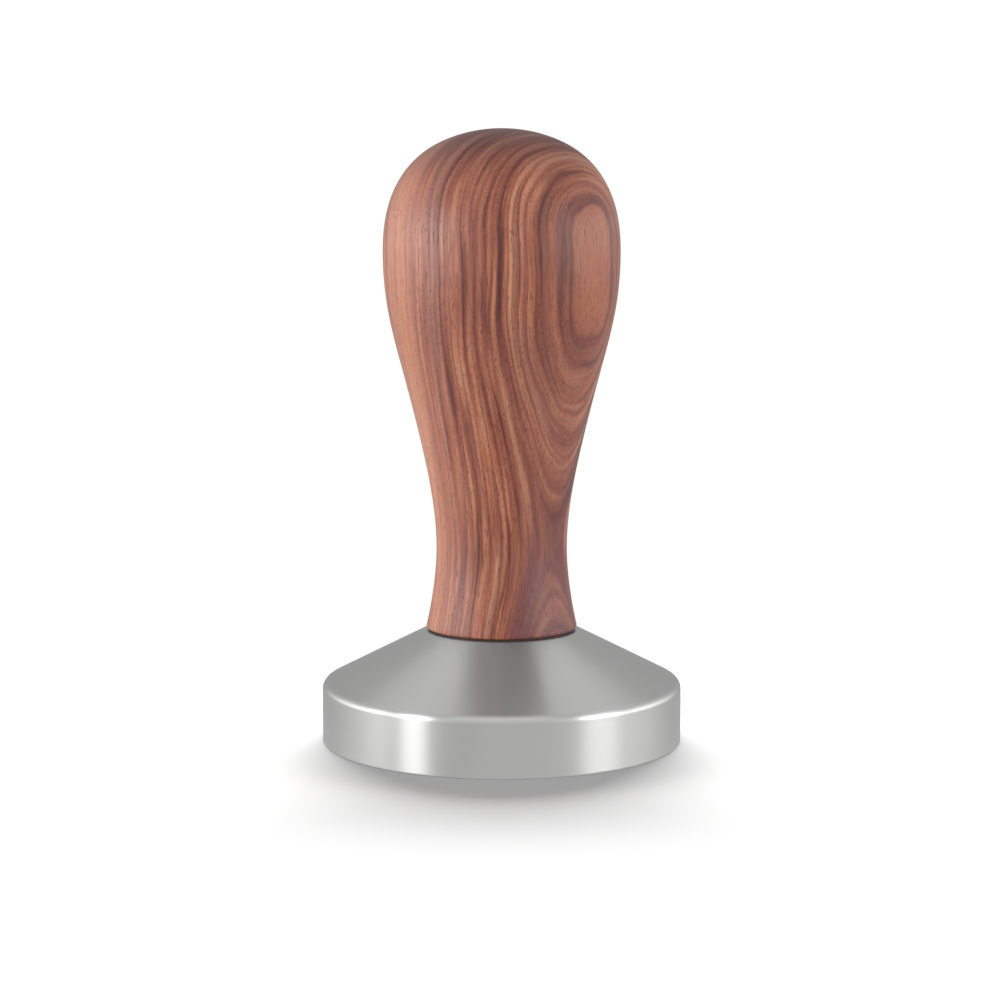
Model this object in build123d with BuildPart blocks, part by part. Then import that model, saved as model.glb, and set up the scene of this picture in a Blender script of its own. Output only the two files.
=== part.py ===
"""Espresso tamper, 58 mm: a turned steel base screwed to a turned hardwood handle.

Frame: +Z up, origin at the centre of the flat tamping face, which rests on Z = 0.
The base, washer, stud, insert and handle share the Z axis. Units are millimetres.
"""

import os
from math import ceil, floor, pi, tan
from typing import NamedTuple

from build123d import *


class Thread(NamedTuple):
    """A 60 degree V thread, as the solid bar that carries it or fills its hole."""

    outer: float  # bar radius between the grooves
    inner: float  # radius at the flat bottom of the groove
    pitch_radius: float  # where groove and ridge are equally wide
    pitch: float


# ---------------------------------------------------------------- driving sizes
# Base, turned from stainless steel bar
base_diameter = 58.0  # tamping face, for a 58 mm basket
base_edge_break = 0.2  # radius on the lower edge
shoulder_z = 9.4  # where the rim's wall and the cone would meet as a sharp edge
shoulder_radius = 1.5  # rounding of that edge
base_top_z = 18.0  # flat seat under the washer
base_top_radius = 12.3
base_top_break = 0.2

# Tapped blind hole in the base
tap_bottom_z = 6.0
drill_bottom_z = 5.2
drill_radius = 3.35
drill_point = 1.9
base_mouth_radius = 4.6
base_mouth_depth = 1.0

# Washer between steel and wood
washer_thickness = 0.3
washer_radius = 11.7  # stands back a little from both edges of the joint
washer_bore_radius = 4.25
washer_edge_radius = 0.08

# Handle, turned from hardwood
handle_foot_z = base_top_z + washer_thickness
handle_top_z = 98.2
handle_foot_radius = 12.24
handle_foot_break = 0.4
# (radius, height) of points on the grip's outline, foot to crown
handle_outline = [
    (handle_foot_radius, handle_foot_z),
    (11.13, 24.00),
    (10.51, 31.00),
    (11.26, 40.00),
    (13.31, 50.00),
    (15.85, 60.00),
    (18.20, 70.00),
    (18.89, 78.00),
    (18.25, 85.06),
    (15.68, 91.00),
    (12.05, 94.68),
    (8.00, 96.78),
    (4.00, 97.86),
    (0.00, handle_top_z),
]
foot_tangent = (-0.25, 1.0)  # the grip narrows upward from its foot
crown_tangent = (-1.0, 0.0)  # level where it meets the axis

# M8 coarse threads, with running clearance between screw and nut
m8_pitch = 1.25
m8_screw = Thread(outer=3.95, inner=3.20, pitch_radius=3.54, pitch=m8_pitch)
m8_nut = Thread(outer=4.05, inner=3.425, pitch_radius=3.65, pitch=m8_pitch)

# Stud: M8 x 25 set screw with a hexagon socket
stud_bottom_z = 7.5
stud_length = 25.0
stud_top_z = stud_bottom_z + stud_length
stud_chamfer = 0.85
socket_across_flats = 4.0
socket_depth = 5.0
socket_drill_radius = 1.9
socket_drill_point = 1.0
socket_drill_overlap = 0.5  # the drilled point starts this far inside the hexagon

# Brass insert: knife thread outside for wood, M8 inside
insert_bottom_z = handle_foot_z + 0.3  # sits a little inside the handle's foot
insert_length = 14.0
insert_top_z = insert_bottom_z + insert_length
knife = Thread(outer=6.0, inner=5.0, pitch_radius=5.264, pitch=2.0)
insert_chamfer = 0.7
insert_slot_width = 1.6
insert_slot_depth = 1.8
insert_mouth_radius = 4.5
insert_mouth_depth = 1.0

# Bore in the wood
wood_clearance = 0.05
wood_thread = Thread(
    outer=knife.outer + wood_clearance,
    inner=knife.inner + wood_clearance,
    pitch_radius=knife.pitch_radius + 2 * wood_clearance,
    pitch=knife.pitch,
)
wood_thread_runout = 0.2  # cut thread past the insert's upper end
wood_drill_radius = 4.85
wood_drill_bottom_z = 34.4
wood_drill_point = 2.6
wood_mouth_radius = 6.4
wood_mouth_depth = 1.4

# Allowances that leave clean booleans
overlap = 1.0  # how far cutting tools run past a face or into one another
groove_overshoot = 0.07  # the thread groove stands out of its bar
blank_oversize = 0.3  # a rod's blank stands out of its thread

both_flanks = 2 * tan(pi / 6)  # widening of a 60 degree groove per unit of radius


# ---------------------------------------------------------------- shared shapes
def threaded_bar(thread, low, high):
    """A bar along +Z with a V thread over low..high.

    Groove centres lie on whole multiples of the pitch at +X, so threads that share
    the axis are in phase. The bar runs past both ends of the groove; what is made
    from it cuts it to length.
    """
    pitch = thread.pitch
    first = (floor(low / pitch) - 1) * pitch
    last = (ceil(high / pitch) + 1) * pitch
    root = thread.inner
    reach = thread.outer + groove_overshoot

    def half_width(radius):
        return (pitch / 2 + both_flanks * (radius - thread.pitch_radius)) / 2

    with BuildPart() as bar:
        with BuildSketch(Plane.XY.offset(first - 2 * pitch)):
            Circle(thread.outer)
        extrude(amount=last - first + 4 * pitch)
        with BuildLine() as path:
            Helix(
                pitch=pitch,
                height=last - first,
                radius=(root + reach) / 2,
                center=(0, 0, first),
            )
        with BuildSketch(Plane.XZ) as groove:
            with BuildLine():
                Polyline(
                    (root, first - half_width(root)),
                    (reach, first - half_width(reach)),
                    (reach, first + half_width(reach)),
                    (root, first + half_width(root)),
                    close=True,
                )
            make_face()
        sweep(
            sections=groove.sketch,
            path=path.line,
            is_frenet=True,
            mode=Mode.SUBTRACT,
        )
    return bar.part


def thread_tap(thread, low, high, blank_radius, cut_low, cut_high):
    """A bar threaded over low..high and cut to cut_low..cut_high."""
    with BuildPart() as tap:
        with BuildSketch(Plane.XY.offset(cut_low)):
            Circle(blank_radius)
        extrude(amount=cut_high - cut_low)
        add(threaded_bar(thread, low, high), mode=Mode.INTERSECT)
    return tap.part


# The three helpers below work on the part that is active where they are called.
def turned(*outline, mode=Mode.ADD):
    """Revolves a closed (radius, height) outline about Z."""
    with BuildSketch(Plane.XZ) as profile:
        with BuildLine():
            Polyline(*outline, close=True)
        make_face()
    revolve(profile.sketch, axis=Axis.Z, mode=mode)


def countersink(radius, depth, face_z, way):
    """Cuts a 45 degree mouth into the face at face_z; way is 1 for up, -1 for down."""
    floor_z = face_z + way * depth
    turned(
        (0, face_z),
        (radius, face_z),
        (radius - depth, floor_z),
        (0, floor_z),
        mode=Mode.SUBTRACT,
    )


def chamfered_rod(thread, end_chamfer, low, high):
    """Adds a threaded rod with 45 degree chamfers at both ends."""
    end_radius = thread.outer - end_chamfer
    blank_radius = thread.outer + blank_oversize
    turned(
        (0, low),
        (end_radius, low),
        (blank_radius, low + end_chamfer + blank_oversize),
        (blank_radius, high - end_chamfer - blank_oversize),
        (end_radius, high),
        (0, high),
    )
    add(threaded_bar(thread, low, high), mode=Mode.INTERSECT)


# ----------------------------------------------------------------------- pieces
def tamper_base():
    tap = thread_tap(
        m8_nut,
        low=tap_bottom_z,
        high=base_top_z,
        blank_radius=m8_nut.outer + overlap,
        cut_low=tap_bottom_z,
        cut_high=base_top_z + overlap,
    )
    with BuildPart() as base:
        with BuildSketch(Plane.XZ):
            with BuildLine():
                Polyline(
                    (0, 0),
                    (base_diameter / 2, 0),
                    (base_diameter / 2, shoulder_z),
                    (base_top_radius, base_top_z),
                    (0, base_top_z),
                    close=True,
                )
            make_face()
        revolve(axis=Axis.Z)
        fillet(
            base.edges().filter_by(GeomType.CIRCLE).sort_by(Axis.Z)[0],
            radius=base_edge_break,
        )
        fillet(
            base.edges()
            .filter_by(GeomType.CIRCLE)
            .filter_by_position(Axis.Z, shoulder_z - 0.01, shoulder_z + 0.01),
            radius=shoulder_radius,
        )
        chamfer(
            base.edges().filter_by(GeomType.CIRCLE).sort_by(Axis.Z)[-1],
            length=base_top_break,
        )
        # drilled pilot with a conical point, countersunk mouth, then the thread
        turned(
            (0, drill_bottom_z - drill_point),
            (drill_radius, drill_bottom_z),
            (drill_radius, tap_bottom_z + overlap),
            (0, tap_bottom_z + overlap),
            mode=Mode.SUBTRACT,
        )
        countersink(base_mouth_radius, base_mouth_depth, face_z=base_top_z, way=-1)
        add(tap, mode=Mode.SUBTRACT)
    return base.part


def joint_washer():
    with BuildPart() as washer:
        with BuildSketch(Plane.XY.offset(base_top_z)):
            Circle(washer_radius)
            Circle(washer_bore_radius, mode=Mode.SUBTRACT)
        extrude(amount=washer_thickness)
        # both outer edges
        fillet(
            washer.edges().filter_by(GeomType.CIRCLE).group_by(SortBy.RADIUS)[-1],
            radius=washer_edge_radius,
        )
    return washer.part


def wooden_handle():
    # the shape that the insert's knife thread leaves in the wood
    tap = thread_tap(
        wood_thread,
        low=handle_foot_z,
        high=insert_top_z,
        blank_radius=knife.outer + overlap,
        cut_low=handle_foot_z - overlap,
        cut_high=insert_top_z + wood_thread_runout,
    )
    with BuildPart() as handle:
        with BuildSketch(Plane.XZ):
            with BuildLine():
                grip = Spline(
                    *handle_outline,
                    tangents=[foot_tangent, crown_tangent],
                    tangent_scalars=[1.0, 1.0],
                )
                Polyline(grip @ 1, (0, handle_foot_z), grip @ 0)
            make_face()
        revolve(axis=Axis.Z)
        fillet(
            handle.edges().filter_by(GeomType.CIRCLE).sort_by(Axis.Z)[0],
            radius=handle_foot_break,
        )
        # pilot drilling past the insert, countersunk mouth, then the thread
        turned(
            (0, insert_top_z - overlap),
            (wood_drill_radius, insert_top_z - overlap),
            (wood_drill_radius, wood_drill_bottom_z),
            (0, wood_drill_bottom_z + wood_drill_point),
            mode=Mode.SUBTRACT,
        )
        countersink(wood_mouth_radius, wood_mouth_depth, face_z=handle_foot_z, way=1)
        add(tap, mode=Mode.SUBTRACT)
    return handle.part


def threaded_insert():
    with BuildPart() as insert:
        chamfered_rod(knife, insert_chamfer, insert_bottom_z, insert_top_z)
        # countersinks at both ends of the M8 thread, then the thread
        for face_z, way in ((insert_bottom_z, 1), (insert_top_z, -1)):
            countersink(insert_mouth_radius, insert_mouth_depth, face_z, way)
        add(threaded_bar(m8_nut, insert_bottom_z, insert_top_z), mode=Mode.SUBTRACT)
        # screwdriver slot across the lower face
        with BuildSketch(Plane.XY.offset(insert_bottom_z - overlap)):
            Rectangle(2 * (knife.outer + overlap), insert_slot_width)
        extrude(amount=overlap + insert_slot_depth, mode=Mode.SUBTRACT)
    return insert.part


def threaded_stud():
    socket_end_z = stud_bottom_z + socket_depth
    with BuildPart() as stud:
        chamfered_rod(m8_screw, stud_chamfer, stud_bottom_z, stud_top_z)
        # hexagon socket in the lower end, with a drilled point
        with BuildSketch(Plane.XY.offset(stud_bottom_z)):
            RegularPolygon(
                radius=socket_across_flats / 2, side_count=6, major_radius=False
            )
        extrude(amount=socket_depth, mode=Mode.SUBTRACT)
        turned(
            (0, socket_end_z - socket_drill_overlap),
            (socket_drill_radius, socket_end_z - socket_drill_overlap),
            (socket_drill_radius, socket_end_z),
            (0, socket_end_z + socket_drill_point),
            mode=Mode.SUBTRACT,
        )
    return stud.part


# Each piece is labelled and filed under its function's name.
os.makedirs("parts", exist_ok=True)
for build in (tamper_base, joint_washer, wooden_handle, threaded_insert, threaded_stud):
    piece = build()
    piece.label = build.__name__
    export_step(piece, f"parts/{build.__name__}.step")
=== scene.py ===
"""Looks for the 58 mm espresso tamper: turned steel base, washer, turned hardwood handle, brass insert, steel stud.

Units are metres, in the frame of the CAD: Z up, origin at the centre of the tamping face.
"""

import math

import bmesh
import bpy
import numpy as np
from mathutils import Matrix, Vector


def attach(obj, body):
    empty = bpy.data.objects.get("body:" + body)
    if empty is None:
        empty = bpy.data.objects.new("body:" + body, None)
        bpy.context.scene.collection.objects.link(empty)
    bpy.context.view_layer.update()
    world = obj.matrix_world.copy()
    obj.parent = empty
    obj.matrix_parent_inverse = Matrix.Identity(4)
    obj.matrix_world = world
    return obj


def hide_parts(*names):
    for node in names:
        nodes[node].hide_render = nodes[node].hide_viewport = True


MM = 0.001
TAU = 2 * math.pi

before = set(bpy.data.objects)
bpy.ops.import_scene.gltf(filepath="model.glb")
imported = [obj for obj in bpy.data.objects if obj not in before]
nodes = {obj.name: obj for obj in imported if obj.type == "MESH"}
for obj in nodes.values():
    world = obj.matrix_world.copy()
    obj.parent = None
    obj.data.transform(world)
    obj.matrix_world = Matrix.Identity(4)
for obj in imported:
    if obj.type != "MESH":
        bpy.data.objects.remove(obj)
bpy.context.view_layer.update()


# ------------------------------------------------------------------ node helpers
def node(tree, kind, ins=None, **props):
    """Adds a node, sets its properties, and links or fills its inputs by name or number."""
    n = tree.nodes.new(kind)
    for k, v in props.items():
        setattr(n, k, v)
    for k, v in (ins or {}).items():
        s = n.inputs[k]
        if isinstance(v, bpy.types.NodeSocket):
            tree.links.new(v, s)
        else:
            s.default_value = v
    return n


def calc(tree, op, a, b=0.0, c=0.0, clamp=False):
    n = node(tree, "ShaderNodeMath", {0: a, 1: b, 2: c}, operation=op, use_clamp=clamp)
    return n.outputs[0]


def vcalc(tree, op, a, b=(0, 0, 0), scale=None):
    n = node(tree, "ShaderNodeVectorMath", {0: a, 1: b}, operation=op)
    if scale is not None:
        s = n.inputs["Scale"]
        if isinstance(scale, bpy.types.NodeSocket):
            tree.links.new(scale, s)
        else:
            s.default_value = scale
    return n.outputs["Value" if op in ("DOT_PRODUCT", "LENGTH") else "Vector"]


def remap(tree, v, a, b, c=0.0, d=1.0, smooth=False):
    n = node(
        tree,
        "ShaderNodeMapRange",
        {"Value": v, "From Min": a, "From Max": b, "To Min": c, "To Max": d},
        interpolation_type="SMOOTHSTEP" if smooth else "LINEAR",
        clamp=True,
    )
    return n.outputs["Result"]


def noise(tree, vec, scale=1.0, detail=2.0, rough=0.5, distort=0.0, colour=False):
    n = node(
        tree,
        "ShaderNodeTexNoise",
        {
            "Vector": vec,
            "Scale": scale,
            "Detail": detail,
            "Roughness": rough,
            "Distortion": distort,
        },
        noise_dimensions="3D",
    )
    return n.outputs["Color" if colour else "Fac"]


def mix(tree, f, a, b, blend="MIX"):
    n = node(tree, "ShaderNodeMix", data_type="RGBA", blend_type=blend)
    for k, v in ((0, f), (6, a), (7, b)):
        if isinstance(v, bpy.types.NodeSocket):
            tree.links.new(v, n.inputs[k])
        else:
            n.inputs[k].default_value = v
    return n.outputs[2]


def ramp(tree, f, stops):
    n = node(tree, "ShaderNodeValToRGB", {0: f})
    r = n.color_ramp
    while len(r.elements) > 1:
        r.elements.remove(r.elements[-1])
    r.elements[0].position = stops[0][0]
    r.elements[0].color = stops[0][1]
    for p, c in stops[1:]:
        r.elements.new(p).color = c
    return n.outputs["Color"]


def srgb(r, g, b):
    """A colour of the 0..255 display scale as linear RGBA."""
    f = lambda v: v / 12.92 if v <= 0.04045 else ((v + 0.055) / 1.055) ** 2.4
    return (f(r / 255), f(g / 255), f(b / 255), 1.0)


def new_material(name):
    m = bpy.data.materials.new(name)
    m.use_nodes = True
    t = m.node_tree
    t.nodes.clear()
    out = node(t, "ShaderNodeOutputMaterial")
    bsdf = node(t, "ShaderNodeBsdfPrincipled")
    t.links.new(bsdf.outputs["BSDF"], out.inputs["Surface"])
    return m, t, bsdf


def millimetres(t):
    """Object coordinates in millimetres."""
    co = node(t, "ShaderNodeTexCoord").outputs["Object"]
    return vcalc(t, "SCALE", co, scale=1000.0)


# --------------------------------------------------------------------- materials
def wood_material():
    """Reddish rosewood, flat sawn: growth sheets seen as streaks, loops and V shapes where the turning cuts them."""
    m, t, b = new_material("rosewood")
    p = millimetres(t)
    # slow wander of the growth sheets, longest along the grain
    w1 = noise(t, vcalc(t, "MULTIPLY", p, (0.045, 0.045, 0.016)), 1, 2, 0.5, colour=True)
    w1 = vcalc(t, "SUBTRACT", w1, (0.5, 0.5, 0.5))
    w2 = noise(t, vcalc(t, "MULTIPLY", p, (0.22, 0.22, 0.075)), 1, 2, 0.55, colour=True)
    w2 = vcalc(t, "SUBTRACT", w2, (0.5, 0.5, 0.5))
    q = vcalc(t, "ADD", p, vcalc(t, "SCALE", w1, scale=2.0))
    q = vcalc(t, "ADD", q, vcalc(t, "SCALE", w2, scale=0.45))
    a = math.radians(WOOD_AZ)
    n = (math.sin(a), -math.cos(a), 0.0)
    s = (math.cos(a), math.sin(a), 0.0)
    # the sheets bow round a pith some way off
    v = vcalc(t, "DOT_PRODUCT", q, s)
    u = vcalc(t, "DOT_PRODUCT", q, n)
    bow = calc(t, "MULTIPLY", calc(t, "MULTIPLY", v, v), 0.003)
    z = node(t, "ShaderNodeSeparateXYZ", {0: q}).outputs[2]
    # they also lean a little with the bulge, which draws the outermost one out along the grain
    dz = calc(t, "SUBTRACT", z, 77.5)
    dz = calc(t, "MULTIPLY", dz, dz)
    lean = calc(t, "DIVIDE", calc(t, "MULTIPLY", dz, 2.1), calc(t, "ADD", dz, 150.0))
    depth = calc(t, "ADD", calc(t, "ADD", u, bow), lean)
    # and lie closer together towards the bark
    near = calc(t, "MAXIMUM", calc(t, "SUBTRACT", depth, 10.0), 0.0)
    u = calc(t, "MULTIPLY_ADD", calc(t, "MULTIPLY", near, near), 0.10, depth)

    def sheet(fu, fv, fz, detail, rough, seed):
        c = node(
            t,
            "ShaderNodeCombineXYZ",
            {
                0: calc(t, "MULTIPLY_ADD", u, fu, seed),
                1: calc(t, "MULTIPLY", v, fv),
                2: calc(t, "MULTIPLY", z, fz),
            },
        ).outputs[0]
        return noise(t, c, 1, detail, rough)

    broad = sheet(0.15, 0.02, 0.008, 1, 0.5, 3.7)
    vein = sheet(1.00, 0.07, 0.045, 1, 0.5, 11.3)
    vein2 = sheet(0.62, 0.05, 0.028, 1, 0.5, 71.9)
    fine = sheet(2.3, 0.22, 0.10, 2, 0.6, 29.1)
    dark = sheet(0.55, 0.07, 0.016, 2, 0.55, 47.9)
    # growth lines about 1.7 mm apart, wavering in strength
    beat = calc(t, "SINE", calc(t, "MULTIPLY_ADD", vein2, 9.0, calc(t, "MULTIPLY", u, TAU / 1.7)))
    # fibres run along the grain in every sheet
    fibre = noise(t, vcalc(t, "MULTIPLY", p, (3.2, 3.2, 0.20)), 1, 2, 0.6)
    hair = noise(t, vcalc(t, "MULTIPLY", p, (10.0, 10.0, 0.55)), 1, 2, 0.6)
    pore_n = noise(t, vcalc(t, "MULTIPLY", p, (6.3, 6.3, 0.30)), 1, 1, 0.5)
    pore = remap(t, pore_n, 0.62, 0.70, smooth=True)

    def swing(x, weight):
        return calc(t, "MULTIPLY", calc(t, "SUBTRACT", x, 0.5), weight)

    tone = swing(vein, 1.45)
    tone = calc(t, "ADD", tone, swing(vein2, 0.90))
    tone = calc(t, "ADD", tone, swing(fine, 0.60))
    line = calc(t, "MULTIPLY", remap(t, beat, 0.40, 0.98, smooth=True), remap(t, fine, 0.30, 0.62, 0.3, 1.0))
    tone = calc(t, "MULTIPLY_ADD", line, -0.38, tone)
    thin = calc(t, "SINE", calc(t, "MULTIPLY_ADD", vein, 7.0, calc(t, "MULTIPLY", u, TAU / 0.93)))
    thin = calc(t, "MULTIPLY", remap(t, thin, 0.45, 1.0, smooth=True), remap(t, dark, 0.40, 0.60, 0.25, 1.0))
    tone = calc(t, "MULTIPLY_ADD", thin, -0.22, tone)
    tone = calc(t, "ADD", tone, 0.13)
    strength = calc(t, "MULTIPLY", remap(t, u, -9.0, 3.0, 0.56, 0.85, smooth=True), remap(t, depth, 17.95, 18.25, 1.0, 0.28, smooth=True))
    strength = calc(t, "ADD", strength, remap(t, depth, -13.0, -7.0, 0.38, 0.0, smooth=True))
    strength = calc(t, "MULTIPLY", strength, remap(t, depth, 13.5, 17.5, 1.0, 0.62, smooth=True))
    corner = calc(t, "MULTIPLY", remap(t, depth, 10.0, 12.0, smooth=True), remap(t, z, 36.0, 27.0, smooth=True))
    strength = calc(t, "MULTIPLY", strength, remap(t, corner, 0.0, 1.0, 1.0, 0.5))
    tone = calc(t, "MULTIPLY", tone, strength)
    # one plain sheet at the outer side, with a dark line round it
    rim = remap(t, calc(t, "ABSOLUTE", calc(t, "SUBTRACT", depth, 18.15)), 0.03, 0.20, -0.17, 0.0, smooth=True)
    tone = calc(t, "ADD", tone, rim)
    tone = calc(t, "ADD", tone, remap(t, depth, 18.15, 18.35, 0.0, 0.12, smooth=True))
    tone = calc(t, "ADD", tone, swing(broad, 0.55))
    tone = calc(t, "ADD", tone, swing(fibre, 0.38))
    # painted shade: the wood darkens towards its foot, over the last 7 mm above the joint with the base
    tone = calc(t, "ADD", tone, remap(t, z, 18.3, 25.0, -0.08, 0.0, smooth=True))
    tone = calc(t, "MULTIPLY_ADD", corner, -0.26, tone)
    left = calc(t, "MULTIPLY", remap(t, calc(t, "ABSOLUTE", calc(t, "SUBTRACT", depth, 4.8)), 0.8, 3.2, 1.0, 0.0, smooth=True), remap(t, z, 36.0, 28.0, smooth=True))
    tone = calc(t, "MULTIPLY_ADD", left, -0.20, tone)
    low = remap(t, calc(t, "ABSOLUTE", calc(t, "SUBTRACT", depth, 9.9)), 0.4, 1.7, 1.0, 0.0, smooth=True)
    low = calc(t, "MULTIPLY", low, remap(t, z, 36.0, 29.0, smooth=True))
    tone = calc(t, "MULTIPLY_ADD", low, 0.17, tone)
    outer = remap(t, calc(t, "ABSOLUTE", calc(t, "SUBTRACT", depth, 15.6)), 0.8, 2.4, 0.06, 0.0, smooth=True)
    tone = calc(t, "ADD", tone, outer)
    waist = calc(t, "MULTIPLY", remap(t, depth, 3.0, 9.0, 1.0, 0.4, smooth=True), remap(t, z, 70.0, 60.0, smooth=True))
    waist = calc(t, "MULTIPLY", waist, remap(t, z, 34.0, 44.0, smooth=True))
    tone = calc(t, "MULTIPLY_ADD", waist, 0.13, tone)
    # a paler streak up the front of the neck
    pale = remap(t, calc(t, "ABSOLUTE", calc(t, "SUBTRACT", depth, 8.3)), 0.3, 2.2, 1.0, 0.0, smooth=True)
    pale = calc(t, "MULTIPLY", pale, remap(t, z, 74.0, 62.0, smooth=True))
    tone = calc(t, "MULTIPLY_ADD", pale, 0.22, tone)
    tone = calc(t, "ADD", tone, 0.54, clamp=True)
    col = ramp(
        t,
        tone,
        [
            (0.00, srgb(84, 38, 34)),
            (0.20, srgb(116, 56, 46)),
            (0.40, srgb(150, 82, 60)),
            (0.60, srgb(176, 104, 76)),
            (0.80, srgb(200, 130, 97)),
            (1.00, srgb(216, 154, 120)),
        ],
    )
    # dark purplish veins with a crisp side
    veins = remap(t, dark, 0.57, 0.66, smooth=True)
    veins = calc(t, "MULTIPLY", veins, remap(t, fine, 0.35, 0.6, 0.45, 1.0))
    col = mix(t, calc(t, "MULTIPLY", veins, 0.50), col, srgb(92, 50, 56))
    orange = remap(t, broad, 0.56, 0.68, smooth=True)
    col = mix(t, calc(t, "MULTIPLY", orange, 0.30), col, srgb(206, 132, 88))
    plum = remap(t, sheet(0.24, 0.03, 0.010, 2, 0.5, 93.1), 0.46, 0.66, smooth=True)
    col = mix(t, calc(t, "MULTIPLY", plum, 0.26), col, srgb(144, 88, 88))
    # a paler sapwood side of the blank, made pale enough that it also stands as a painted sheen on the front-left of
    # the handle
    sapwood_and_sheen = remap(t, depth, 4.5, -3.0, smooth=True)
    sapwood_and_sheen = calc(t, "MULTIPLY", sapwood_and_sheen, remap(t, depth, -12.0, -7.0, 0.2, 1.0, smooth=True))
    sapwood_and_sheen = calc(t, "MULTIPLY", sapwood_and_sheen, remap(t, z, 22.0, 36.0, 0.6, 1.0, smooth=True))
    col = mix(t, calc(t, "MULTIPLY", sapwood_and_sheen, 0.50), col, srgb(218, 152, 128))
    # a grey-lilac band: partly the wood's own purple tone, partly a painted sheen along the lit side
    lilac_and_sheen = remap(t, calc(t, "ABSOLUTE", calc(t, "SUBTRACT", depth, 3.0)), 0.4, 1.9, 1.0, 0.0, smooth=True)
    lilac_and_sheen = calc(t, "MULTIPLY", lilac_and_sheen, remap(t, z, 50.0, 66.0, 0.25, 1.0, smooth=True))
    col = mix(t, calc(t, "MULTIPLY", lilac_and_sheen, 0.34), col, srgb(166, 124, 118))
    shade = calc(t, "MULTIPLY", remap(t, depth, 9.5, 13.0, smooth=True), remap(t, z, 72.0, 62.0, smooth=True))
    col = mix(t, calc(t, "MULTIPLY", shade, 0.30), col, srgb(136, 82, 80))
    hairs = remap(t, hair, 0.35, 0.65, 0.92, 1.06)
    col = mix(
        t,
        1.0,
        col,
        node(t, "ShaderNodeCombineColor", {0: hairs, 1: hairs, 2: hairs}).outputs[0],
        "MULTIPLY",
    )
    col = mix(t, calc(t, "MULTIPLY", pore, 0.62), col, srgb(70, 36, 34))
    # end grain darkens where the surface faces along the grain; it is pushed darker than end grain alone, so on the
    # crown it also paints the shade that falls on the top
    geo = node(t, "ShaderNodeNewGeometry")
    nz = calc(t, "ABSOLUTE", node(t, "ShaderNodeSeparateXYZ", {0: geo.outputs["Normal"]}).outputs[2])
    end = remap(t, nz, 0.45, 0.97, 0.0, 0.71)
    col = mix(t, end, col, srgb(74, 38, 40))
    # painted reflection: to rays mirrored off the steel the wood shows as a paler, colourless grey, which lightens and
    # greys its reflection in the base
    mirrored = node(t, "ShaderNodeLightPath").outputs["Is Glossy Ray"]
    pale = node(t, "ShaderNodeRGBToBW", {0: col}).outputs[0]
    pale = calc(t, "MULTIPLY", pale, 1.45)
    pale = node(t, "ShaderNodeCombineColor", {0: pale, 1: pale, 2: pale}).outputs[0]
    col = mix(t, calc(t, "MULTIPLY", mirrored, 0.9), col, pale)
    t.links.new(col, b.inputs["Base Color"])
    rough = remap(t, tone, 0.0, 1.0, 0.50, 0.38)
    rough = calc(t, "MULTIPLY_ADD", pore, 0.18, rough)
    t.links.new(rough, b.inputs["Roughness"])
    b.inputs["Specular IOR Level"].default_value = 0.5
    b.inputs["Coat Weight"].default_value = 0.12
    b.inputs["Coat Roughness"].default_value = 0.30
    h = calc(t, "MULTIPLY", pore, -1.0)
    h = calc(t, "MULTIPLY_ADD", hair, 0.35, h)
    h = calc(t, "MULTIPLY_ADD", fibre, 0.35, h)
    bump = node(
        t, "ShaderNodeBump", {"Strength": 0.35, "Distance": 0.00005, "Height": h}
    )
    t.links.new(bump.outputs[0], b.inputs["Normal"])
    return m


def turned_metal(name, colour, rough, aniso=0.85, scratch=0.5):
    """Metal finished on a lathe: fine lines run round Z, so highlights spread across them."""
    m, t, b = new_material(name)
    p = millimetres(t)
    xyz = node(t, "ShaderNodeSeparateXYZ", {0: p})
    flat = node(
        t, "ShaderNodeCombineXYZ", {0: xyz.outputs[0], 1: xyz.outputs[1], 2: 0.0}
    ).outputs[0]
    r = vcalc(t, "LENGTH", flat)
    z = xyz.outputs[2]
    ang = calc(t, "ARCTAN2", xyz.outputs[1], xyz.outputs[0])
    # unit circle coordinates close the pattern on itself
    cx = calc(t, "COSINE", ang)
    cy = calc(t, "SINE", ang)

    def lines(fr, fa, detail, seed):
        c = node(
            t,
            "ShaderNodeCombineXYZ",
            {
                0: calc(t, "MULTIPLY_ADD", calc(t, "ADD", r, calc(t, "MULTIPLY", z, 1.37)), fr, seed),
                1: calc(t, "MULTIPLY", cx, fa),
                2: calc(t, "MULTIPLY", cy, fa),
            },
        ).outputs[0]
        return noise(t, c, 1, detail, 0.6)

    l1 = lines(2.4, 0.5, 2, 5.0)
    l2 = lines(0.9, 0.3, 2, 17.0)
    l3 = lines(3.6, 0.9, 1, 31.0)
    smudge = noise(t, p, 0.10, 3, 0.55)
    hs = remap(t, l3, 0.66, 0.74, smooth=True)
    rr = calc(t, "MULTIPLY_ADD", remap(t, l1, 0.3, 0.7, -0.5, 0.5), rough * 0.04, rough)
    rr = calc(t, "MULTIPLY_ADD", remap(t, smudge, 0.35, 0.7, 0.0, 1.0), rough * 0.10, rr)
    t.links.new(rr, b.inputs["Roughness"])
    tint = calc(t, "ADD", remap(t, l1, 0.3, 0.7, 0.994, 1.006), remap(t, l2, 0.3, 0.7, -0.005, 0.005))
    tint = calc(t, "MULTIPLY_ADD", hs, -0.03 * scratch, tint)
    col = vcalc(t, "SCALE", tuple(colour[:3]), scale=tint)
    t.links.new(col, b.inputs["Base Color"])
    b.inputs["Metallic"].default_value = 1.0
    b.inputs["Anisotropic"].default_value = aniso
    b.inputs["Anisotropic Rotation"].default_value = 0.25
    tan = node(t, "ShaderNodeTangent", direction_type="RADIAL", axis="Z")
    t.links.new(tan.outputs[0], b.inputs["Tangent"])
    return m


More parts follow.
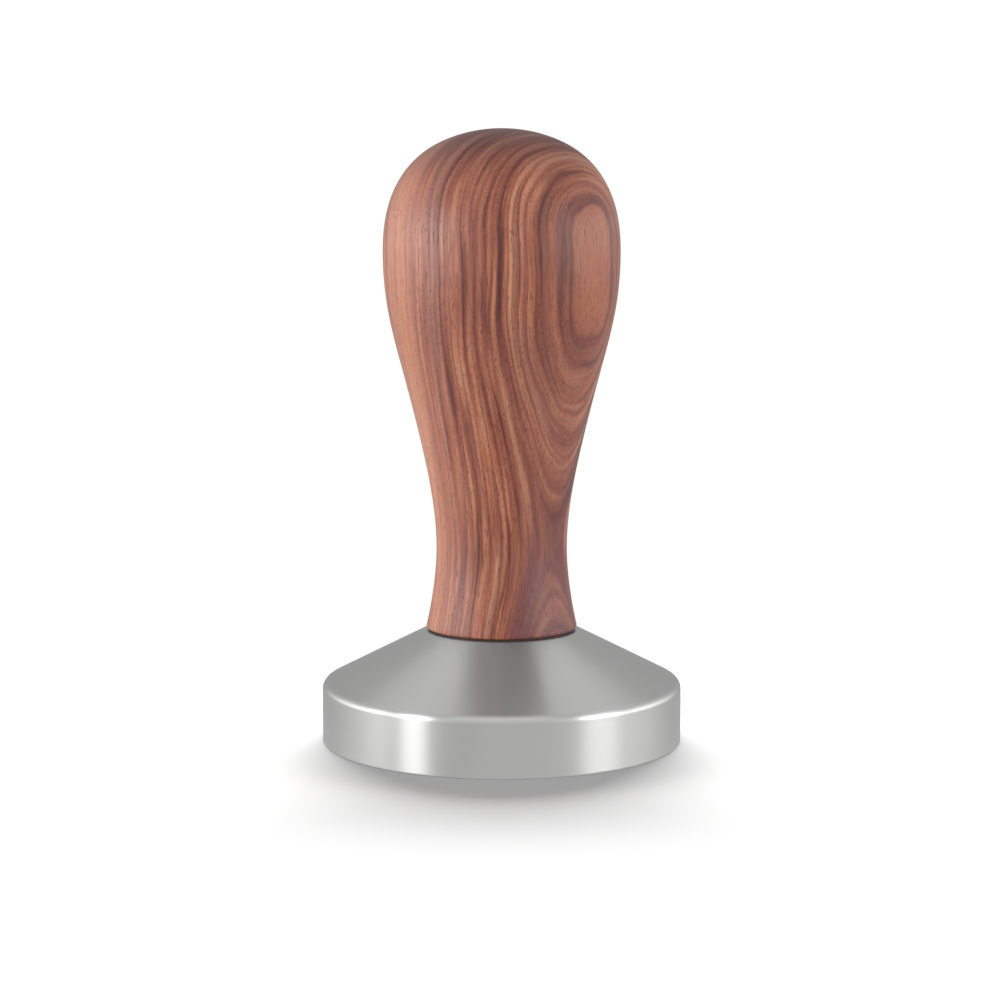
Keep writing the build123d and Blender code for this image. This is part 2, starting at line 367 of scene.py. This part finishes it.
def plain_metal(name, colour, rough, worn=0.3):
    """Cut thread metal: slight colour and roughness drift, with oil-dulled patches."""
    m, t, b = new_material(name)
    p = millimetres(t)
    big = noise(t, p, 0.35, 4, 0.6)
    small = noise(t, p, 4.0, 3, 0.6)
    f = calc(t, "MULTIPLY_ADD", small, 0.4, calc(t, "MULTIPLY", big, 0.6))
    col = vcalc(t, "SCALE", tuple(colour[:3]), scale=remap(t, f, 0.3, 0.7, 1.0 - worn * 0.5, 1.06))
    t.links.new(col, b.inputs["Base Color"])
    b.inputs["Metallic"].default_value = 1.0
    t.links.new(remap(t, f, 0.3, 0.7, rough * 1.4, rough * 0.8), b.inputs["Roughness"])
    bump = node(t, "ShaderNodeBump", {"Strength": 0.15, "Distance": 0.00002, "Height": small})
    t.links.new(bump.outputs[0], b.inputs["Normal"])
    return m


def rubber_material():
    m, t, b = new_material("washer_rubber")
    p = millimetres(t)
    g = noise(t, p, 6.0, 4, 0.6)
    dust = noise(t, p, 0.6, 3, 0.5)
    col = ramp(t, calc(t, "MULTIPLY_ADD", g, 0.5, calc(t, "MULTIPLY", dust, 0.5)), [(0.3, (0.040, 0.021, 0.015, 1)), (0.7, (0.085, 0.050, 0.038, 1))])
    t.links.new(col, b.inputs["Base Color"])
    t.links.new(remap(t, dust, 0.3, 0.7, 0.62, 0.85), b.inputs["Roughness"])
    bump = node(t, "ShaderNodeBump", {"Strength": 0.3, "Distance": 0.00003, "Height": g})
    t.links.new(bump.outputs[0], b.inputs["Normal"])
    return m


# ------------------------------------------------------------------ mesh helpers
def arc(cx, cz, r, a0, a1, n):
    """Points on an arc of the outline, angles in degrees from the +radius direction."""
    return [
        (cx + r * math.cos(math.radians(a)), cz + r * math.sin(math.radians(a)))
        for a in np.linspace(a0, a1, n)
    ]


def fillet(p0, p1, p2, r, n):
    """The rounded corner at p1 between the lines to p0 and p2."""
    a, b, c = (np.array(x, float) for x in (p0, p1, p2))
    u, v = (a - b) / np.linalg.norm(a - b), (c - b) / np.linalg.norm(c - b)
    half = math.acos(float(np.clip(u @ v, -1, 1))) / 2
    d = r / math.tan(half)
    centre = b + (u + v) / np.linalg.norm(u + v) * (r / math.sin(half))
    s, e = b + u * d, b + v * d
    a0, a1 = (math.atan2(*(q - centre)[::-1]) for q in (s, e))
    while a1 - a0 > math.pi:
        a1 -= TAU
    while a1 - a0 < -math.pi:
        a1 += TAU
    return [tuple(centre + r * np.array((math.cos(t), math.sin(t)))) for t in np.linspace(a0, a1, n)]


def run(p, q, n, hold=0.0):
    """Points between p and q, both left out, with a close one at each end if hold is given."""
    p, q = np.array(p, float), np.array(q, float)
    length = np.linalg.norm(q - p)
    ts = list(np.linspace(0, 1, n + 2)[1:-1])
    if hold:
        ts = [hold / length] + [t for t in ts if hold / length < t < 1 - hold / length] + [1 - hold / length]
    return [tuple(p + (q - p) * t) for t in ts]


def spline(points, start, end, count):
    """A clamped cubic through (radius, height) points, sampled evenly by parameter."""
    pts = np.array(points, float)
    t = np.concatenate([[0], np.cumsum(np.linalg.norm(np.diff(pts, axis=0), axis=1))])
    n = len(pts)
    h = np.diff(t)
    mat, rhs = np.zeros((n, n)), np.zeros((n, 2))
    mat[0, 0] = mat[-1, -1] = 1
    rhs[0], rhs[-1] = start, end
    for i in range(1, n - 1):
        mat[i, i - 1], mat[i, i], mat[i, i + 1] = h[i], 2 * (h[i - 1] + h[i]), h[i - 1]
        rhs[i] = 3 * (h[i] * (pts[i] - pts[i - 1]) / h[i - 1] + h[i - 1] * (pts[i + 1] - pts[i]) / h[i])
    m = np.linalg.solve(mat, rhs)
    out = []
    for s in np.linspace(0, t[-1], count):
        i = min(np.searchsorted(t, s, side="right") - 1, n - 2)
        x = (s - t[i]) / h[i]
        out.append(
            (2 * x**3 - 3 * x**2 + 1) * pts[i]
            + (x**3 - 2 * x**2 + x) * h[i] * m[i]
            + (-2 * x**3 + 3 * x**2) * pts[i + 1]
            + (x**3 - x**2) * h[i] * m[i + 1]
        )
    return [tuple(p) for p in out]


def thread(crest, root, pitch_radius, pitch):
    """radius(z, angle) of a right-handed 60 degree thread, corners eased a little."""
    flank = 2 * math.tan(math.pi / 6)
    ease = 0.025

    def soft_max(a, b):
        return (a + b + np.sqrt((a - b) ** 2 + ease**2)) / 2

    def radius(z, ang):
        d = np.abs((z - pitch * ang / TAU + pitch / 2) % pitch - pitch / 2)
        r = pitch_radius + (2 * d - pitch / 2) / flank
        r = soft_max(r, root)
        return -soft_max(-r, -crest)

    return radius


def lathe(name, rows, count, ring=False):
    """A closed mesh turned about Z. Each row is (radius, z) in millimetres, where either may be a function of the
    angle array; radius 0 is a point on the axis. With ring, the last row joins the first."""
    ang = np.arange(count) * TAU / count
    verts, rings = [], []
    for r, z in rows:
        r = r(ang) if callable(r) else r
        if np.isscalar(r) and abs(r) < 1e-9:
            rings.append([len(verts)])
            verts.append((0.0, 0.0, float(z) * MM))
            continue
        rr = np.broadcast_to(r, ang.shape)
        zz = np.broadcast_to(z(ang) if callable(z) else z, ang.shape)
        rings.append(list(range(len(verts), len(verts) + count)))
        verts += [
            (a * MM, b * MM, c * MM) for a, b, c in zip(rr * np.cos(ang), rr * np.sin(ang), zz)
        ]
    faces = []
    pairs = list(zip(rings, rings[1:])) + ([(rings[-1], rings[0])] if ring else [])
    for lo, hi in pairs:
        for j in range(count):
            k = (j + 1) % count
            if len(lo) == 1:
                faces.append((lo[0], hi[k], hi[j]))
            elif len(hi) == 1:
                faces.append((lo[j], lo[k], hi[0]))
            else:
                faces.append((lo[j], lo[k], hi[k], hi[j]))
    mesh = bpy.data.meshes.new(name)
    mesh.from_pydata(verts, [], faces)
    mesh.validate()
    mesh.shade_smooth()
    mesh.set_sharp_from_angle(angle=math.radians(32))
    obj = bpy.data.objects.new(name, mesh)
    bpy.context.scene.collection.objects.link(obj)
    return obj


def paint(obj, material):
    obj.data.materials.clear()
    obj.data.materials.append(material)


WOOD_AZ = 49.0  # the growth sheets face this far round from the front, towards +X

steel = turned_metal("turned_steel", (0.66, 0.66, 0.655), 0.286)
washer_mat = rubber_material()
wood = wood_material()
brass = plain_metal("cut_brass", (0.80, 0.58, 0.26), 0.28)
stud_mat = plain_metal("stud_steel", (0.50, 0.50, 0.50), 0.30)

# --------------------------------------------------------------------- the base
m8_nut = thread(4.05, 3.425, 3.65, 1.25)
outer = []
outer += [(0.0, 0.0)]
outer += run((0, 0), (28.8, 0), 40, 0.04)
outer += fillet((0, 0), (29.0, 0.0), (29.0, 9.4), 0.2, 7)
outer += run((29.0, 0.2), (29.0, 8.485), 14, 0.04)
outer += fillet((29.0, 0), (29.0, 9.4), (12.3, 18.0), 1.5, 17)
outer += run(outer[-1], (12.48, 17.907), 34, 0.04)
outer += fillet((29.0, 9.4), (12.3, 18.0), (0, 18.0), 0.35, 6)
outer += run(outer[-1], (4.7, 18.0), 6, 0.05)
outer += fillet((12.3, 18.0), (4.6, 18.0), (3.6, 17.0), 0.08, 4)


def bore_wall(mouth, wall):
    """Radius of a threaded wall that also stays outside a countersink line."""
    return lambda z: (lambda ang: np.maximum(wall(z, ang), mouth(z)))


base_mouth = lambda z: 4.6 - (18.0 - z)
rows = list(outer)
for z in np.arange(17.9, 6.03, -0.0625):
    rows.append((bore_wall(base_mouth, m8_nut)(z), z))
rows += [(3.95, 6.0), (3.37, 6.0), (3.35, 5.98), (3.35, 5.2), (1.7, 4.25), (0.0, 3.3)]
base = lathe("base_body", rows, 256)
paint(base, steel)

# ------------------------------------------------------------------- the washer
rows = []
rows += arc(11.62, 18.08, 0.08, -90, 0, 5)
rows += arc(11.62, 18.22, 0.08, 0, 90, 5)
rows += run((11.62, 18.3), (4.3, 18.3), 6)
rows += arc(4.3, 18.25, 0.05, 90, 180, 3)
rows += arc(4.3, 18.05, 0.05, 180, 270, 3)
rows += run((4.3, 18.0), (11.62, 18.0), 6)
washer = lathe("washer_ring", rows, 192, ring=True)
paint(washer, washer_mat)

# ------------------------------------------------------------------- the handle
outline = [
    (12.24, 18.30),
    (11.13, 24.00),
    (10.51, 31.00),
    (11.26, 40.00),
    (13.31, 50.00),
    (15.85, 60.00),
    (18.20, 70.00),
    (18.89, 78.00),
    (18.25, 85.06),
    (15.68, 91.00),
    (12.05, 94.68),
    (8.00, 96.78),
    (4.00, 97.86),
    (0.00, 98.20),
]
s0 = np.array((-0.25, 1.0)) / np.linalg.norm((-0.25, 1.0))
curve = spline(outline, s0, (-1.0, 0.0), 170)
corner = fillet((0, 18.3), (12.24, 18.30), curve[1], 0.4, 9)
body = corner + [p for p in curve[1:-1] if p[1] > corner[-1][1] + 0.15]
wood_thread = thread(6.05, 5.05, 5.364, 2.0)
wood_mouth = lambda z: 6.4 - (z - 18.3)
rows = [(0.0, 37.0), (2.4, 35.7), (4.85, 34.4), (4.85, 32.84), (4.89, 32.8), (5.03, 32.8)]
for z in np.arange(32.76, 18.36, -0.09):
    rows.append((bore_wall(wood_mouth, wood_thread)(z), z))
rows += [(6.40, 18.3)]
rows += run((6.45, 18.3), (11.75, 18.3), 6, 0.05)
rows += body + [(0.0, 98.2)]
handle = lathe("wood_grip", rows, 256)
paint(handle, wood)

# --------------------------------------------------------------------- the stud
m8_screw = thread(3.95, 3.20, 3.54, 1.25)


def hexagon(flat):
    """Radius of a regular hexagon by angle, for a count divisible by 6."""
    return lambda ang: flat / np.cos((ang + math.pi / 6) % (math.pi / 3) - math.pi / 6)


hexa = hexagon(2.0)
rows = [(0.0, 13.5), (1.0, 13.0), (1.95, 12.5), (hexa, 12.5)]
rows += [(hexa, z) for z in (12.45, 10.0, 7.65)]
rows += [(lambda a: hexa(a) + 0.12, 7.5)]
rows += [(2.6, 7.5), (3.02, 7.5)]
for z in np.arange(7.55, 32.46, 0.0625):
    cap = min(3.95, 3.1 + (z - 7.5), 3.1 + (32.5 - z))
    rows.append((lambda a, z=z, cap=cap: np.minimum(m8_screw(z, a), cap), z))
rows += [(3.04, 32.5), (2.6, 32.5), (1.3, 32.5), (0.0, 32.5)]
stud = lathe("stud_body", rows, 120)
paint(stud, stud_mat)

# ------------------------------------------------- CAD node that stays, repainted
insert = nodes["threaded_insert"]
for s in insert.material_slots:
    s.link = "OBJECT"
    s.material = brass

for obj, body_name, node_name, slot_name in (
    (base, "base", "tamper_base", "base_steel"),
    (washer, "washer", "joint_washer", "washer"),
    (handle, "handle", "wooden_handle", "handle_wood"),
    (stud, "handle", "threaded_stud", "stud_steel"),
):
    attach(obj, body_name)
    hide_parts(node_name)

# ---------------------------------------------------------------------- the set
scene = bpy.context.scene
scene.view_settings.view_transform = "Standard"
scene.view_settings.look = "None"

cam_data = bpy.data.cameras.new("camera")
cam = bpy.data.objects.new("camera", cam_data)
scene.collection.objects.link(cam)
cam_data.sensor_width = 36.0
cam_data.lens = 93.88
elev, dist, aim = math.radians(7.61), 0.4195, Vector((-0.00027, 0.0, 0.03897))
cam.location = aim + Vector((0, -math.cos(elev), math.sin(elev))) * dist
cam.rotation_euler = (math.pi / 2 - elev, 0, 0)
cam_data.clip_start, cam_data.clip_end = 0.01, 20
scene.camera = cam

FLOOR_SEEN = 0.60  # how pale the floor looks to the camera
FLOOR_FELT = 0.26  # and to light bouncing off it
FLOOR_MIRRORED = 0.55
floor_mesh = bpy.data.meshes.new("floor")
bm = bmesh.new()
bmesh.ops.create_grid(bm, x_segments=8, y_segments=8, size=3.0)
bm.to_mesh(floor_mesh)
bm.free()
floor = bpy.data.objects.new("floor", floor_mesh)
floor.location = (0, 0, -0.00003)
scene.collection.objects.link(floor)
fm = bpy.data.materials.new("pale_floor")
fm.use_nodes = True
ft = fm.node_tree
ft.nodes.clear()
path = node(ft, "ShaderNodeLightPath")
shade = calc(ft, "MULTIPLY_ADD", path.outputs["Is Camera Ray"], FLOOR_SEEN - FLOOR_FELT, FLOOR_FELT)
fcol = node(ft, "ShaderNodeCombineColor", {0: shade, 1: shade, 2: shade}).outputs[0]
diffuse = node(ft, "ShaderNodeBsdfDiffuse", {"Color": fcol})
glow = node(ft, "ShaderNodeEmission", {"Color": (1, 1, 1, 1), "Strength": 1.02})
away = vcalc(ft, "LENGTH", node(ft, "ShaderNodeTexCoord").outputs["Object"])
fade = calc(ft, "MULTIPLY", remap(ft, away, 0.050, 0.080, smooth=True), path.outputs["Is Camera Ray"])
both = node(ft, "ShaderNodeMixShader", {0: fade})
ft.links.new(diffuse.outputs[0], both.inputs[1])
ft.links.new(glow.outputs[0], both.inputs[2])
# mirrored in the steel it is an even pale grey, without the tool's own shadow
place = node(ft, "ShaderNodeSeparateXYZ", {0: node(ft, "ShaderNodeTexCoord").outputs["Object"]})
mirrored = remap(ft, place.outputs[1], -0.05, 0.08, FLOOR_MIRRORED, 0.44, smooth=True)
# one half of it in front is a touch darker than the other
half = remap(ft, calc(ft, "DIVIDE", place.outputs[0], away), -0.26, -0.14, -0.03, 0.025, smooth=True)
front = remap(ft, calc(ft, "DIVIDE", place.outputs[1], away), -0.5, -0.8, smooth=True)
mirrored = calc(ft, "MULTIPLY_ADD", half, front, mirrored)
even = node(ft, "ShaderNodeEmission", {"Color": (1, 1, 1, 1), "Strength": mirrored})
last = node(ft, "ShaderNodeMixShader", {0: path.outputs["Is Glossy Ray"]})
ft.links.new(both.outputs[0], last.inputs[1])
ft.links.new(even.outputs[0], last.inputs[2])
fo = node(ft, "ShaderNodeOutputMaterial")
ft.links.new(last.outputs[0], fo.inputs["Surface"])
paint(floor, fm)
drv = floor.driver_add("hide_render").driver
drv.type = "SCRIPTED"
var = drv.variables.new()
var.name = "h"
var.type = "TRANSFORMS"
var.targets[0].id = cam
var.targets[0].transform_type = "LOC_Z"
var.targets[0].transform_space = "WORLD_SPACE"
drv.expression = "h < 0"

# the room: white where the camera sees it, a soft grey surround for light and reflections
world = bpy.data.worlds.new("room")
scene.world = world
world.use_nodes = True
wt = world.node_tree
wt.nodes.clear()
lp = node(wt, "ShaderNodeLightPath")
gen = node(wt, "ShaderNodeTexCoord").outputs["Generated"]
axes = node(wt, "ShaderNodeSeparateXYZ", {0: gen})
up = axes.outputs[2]
lum = remap(wt, up, 0.0, 0.80, 0.38, 0.48, smooth=True)
lum = calc(wt, "MULTIPLY_ADD", calc(wt, "MAXIMUM", calc(wt, "MULTIPLY", axes.outputs[1], -1.0), 0.0), 0.30, lum)
side = calc(wt, "MULTIPLY", axes.outputs[0], axes.outputs[0])
side = calc(wt, "MULTIPLY", side, side)
low_down = calc(wt, "SUBTRACT", 1.0, calc(wt, "ABSOLUTE", up), clamp=True)
low_down = calc(wt, "MULTIPLY", low_down, low_down)
side = calc(wt, "MULTIPLY", side, calc(wt, "MULTIPLY", low_down, low_down))
lum = calc(wt, "MULTIPLY_ADD", side, 3.8, lum)
grey = node(wt, "ShaderNodeCombineColor", {0: lum, 1: lum, 2: lum}).outputs[0]
room = mix(wt, lp.outputs["Is Camera Ray"], grey, (1.02, 1.02, 1.02, 1))
bg = node(wt, "ShaderNodeBackground", {"Color": room, "Strength": 1.0})
wo = node(wt, "ShaderNodeOutputWorld")
wt.links.new(bg.outputs[0], wo.inputs[0])


def softbox(name, az, el, dist, w, h, power, target=(0, 0, 0.045)):
    """An area light az degrees round from the camera (right positive), el above the horizon."""
    a, e = math.radians(az), math.radians(el)
    d = Vector((math.sin(a) * math.cos(e), -math.cos(a) * math.cos(e), math.sin(e)))
    data = bpy.data.lights.new(name, "AREA")
    data.shape = "RECTANGLE"
    data.size, data.size_y = w, h
    data.energy = power
    o = bpy.data.objects.new(name, data)
    o.location = Vector(target) + d * dist
    o.rotation_mode = "QUATERNION"
    o.rotation_quaternion = (-d).to_track_quat("-Z", "Y")
    scene.collection.objects.link(o)
    return o


def only(light, name, objs):
    """The light falls on these objects alone."""
    c = bpy.data.collections.new(name)
    for o in objs:
        c.objects.link(o)
    light.light_linking.receiver_collection = c


solid = [base, washer, handle, stud, insert]
only(softbox("left_strip", -56, 9, 0.9, 0.26, 0.50, 2.05), "lit_left", solid)
only(softbox("right_strip", 64, 9, 0.9, 0.40, 0.50, 1.55), "lit_right", solid)
only(softbox("left_wide", -84, 9, 0.9, 0.30, 0.50, 0.36), "lit_left_edge", [base])
only(softbox("back_ceiling", 180, 66, 0.9, 1.5, 0.7, 0.78), "lit_back", [base])
only(softbox("front_top", 0, 50, 0.9, 0.9, 0.25, 0.3), "lit_shoulder", [base])
only(softbox("left_low", -82, 5, 0.9, 0.6, 0.35, 1.1), "lit_wood", [handle])
floor_key = softbox("floor_key", 180, 22, 1.5, 1.8, 1.0, 112.0, (0, 0, 0))
floor_key.visible_camera = False
only(floor_key, "lit_floor", [floor])
